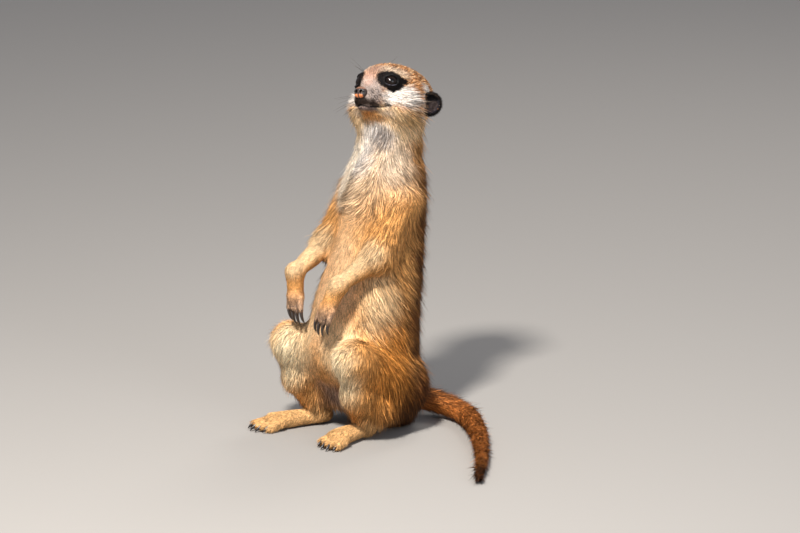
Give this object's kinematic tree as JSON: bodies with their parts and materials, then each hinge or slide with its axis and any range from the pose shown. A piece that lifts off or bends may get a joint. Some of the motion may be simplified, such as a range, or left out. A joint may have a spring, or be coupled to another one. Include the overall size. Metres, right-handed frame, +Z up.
{
  "type": "sitting meerkat, still life-size model",
  "caption": "Meerkat sitting upright on its rump with raised head, forepaws hanging in front of the belly, hind feet forward and the tail laid round to its left side.",
  "frame": {"origin": "middle of the flat under the rump, on the surface it sits on", "axes": "+Z up, -Y the way the chest faces, +X the animal's left"},
  "size_m": [0.2187, 0.1375, 0.2704],
  "materials": {
    "fur": "short coat, tan and golden with dark-tipped hair, cream on the face and throat",
    "eye": "wet and dark, brown iris",
    "nose": "moist bare skin, dark above and orange below",
    "claw": "satin horn, near black"
  },
  "bodies": {
    "root": {"head": "fur", "nose": "nose", "neck": "fur", "chest": "fur", "belly": "fur", "hips": "fur", "eye_left": "eye", "ear_left": "fur", "upper_arm_left": "fur", "forearm_left": "fur", "hand_left": "fur", "thigh_left": "fur", "shank_left": "fur", "foot_left": "fur", "claw_fore_left_1": "claw", "claw_fore_left_2": "claw", "claw_fore_left_3": "claw", "claw_fore_left_4": "claw", "claw_hind_left_1": "claw", "claw_hind_left_2": "claw", "claw_hind_left_3": "claw", "claw_hind_left_4": "claw", "eye_right": "eye", "ear_right": "fur", "upper_arm_right": "fur", "forearm_right": "fur", "hand_right": "fur", "thigh_right": "fur", "shank_right": "fur", "foot_right": "fur", "claw_fore_right_1": "claw", "claw_fore_right_2": "claw", "claw_fore_right_3": "claw", "claw_fore_right_4": "claw", "claw_hind_right_1": "claw", "claw_hind_right_2": "claw", "claw_hind_right_3": "claw", "claw_hind_right_4": "claw", "tail_1": "fur", "tail_2": "fur", "tail_3": "fur", "tail_4": "fur", "tail_5": "fur"}
  },
  "joints": []
}
